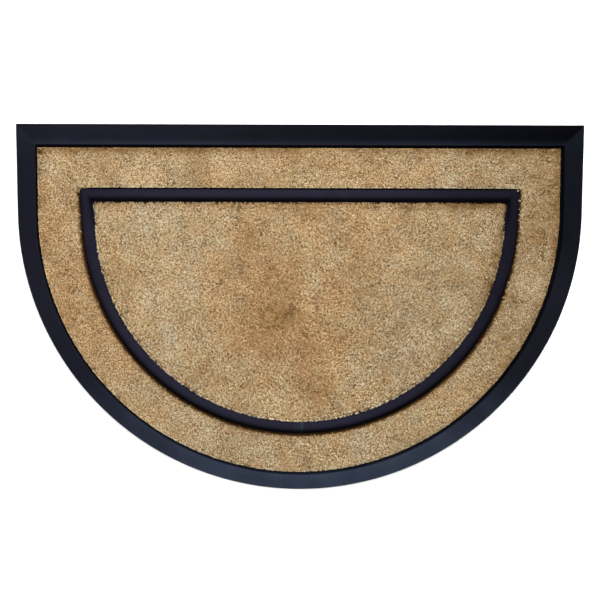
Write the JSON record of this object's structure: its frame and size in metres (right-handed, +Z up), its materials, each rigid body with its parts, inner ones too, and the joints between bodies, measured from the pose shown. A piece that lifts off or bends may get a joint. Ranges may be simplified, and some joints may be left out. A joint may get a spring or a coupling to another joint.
{
  "type": "rubber and coir doormat",
  "caption": "Half-round doormat: a moulded rubber tray with a sloping border and a raised rubber strip, filled with coir pile.",
  "frame": {"origin": "on the underside, under the middle of the mat's bounding box", "axes": "+X along the straight edge, +Y towards the straight edge, +Z up"},
  "size_m": [0.914, 0.586, 0.013],
  "materials": {
    "border_rubber": "matt moulded rubber with a faint mottle and a soft sheen",
    "strip_rubber": "matt moulded rubber, a little smoother than the border",
    "coir": "natural coconut fibre, cut pile standing on end"
  },
  "bodies": {
    "root": {"rubber_tray": "border_rubber", "rubber_strip": "strip_rubber", "coir_band": "coir", "coir_panel": "coir"}
  },
  "joints": []
}
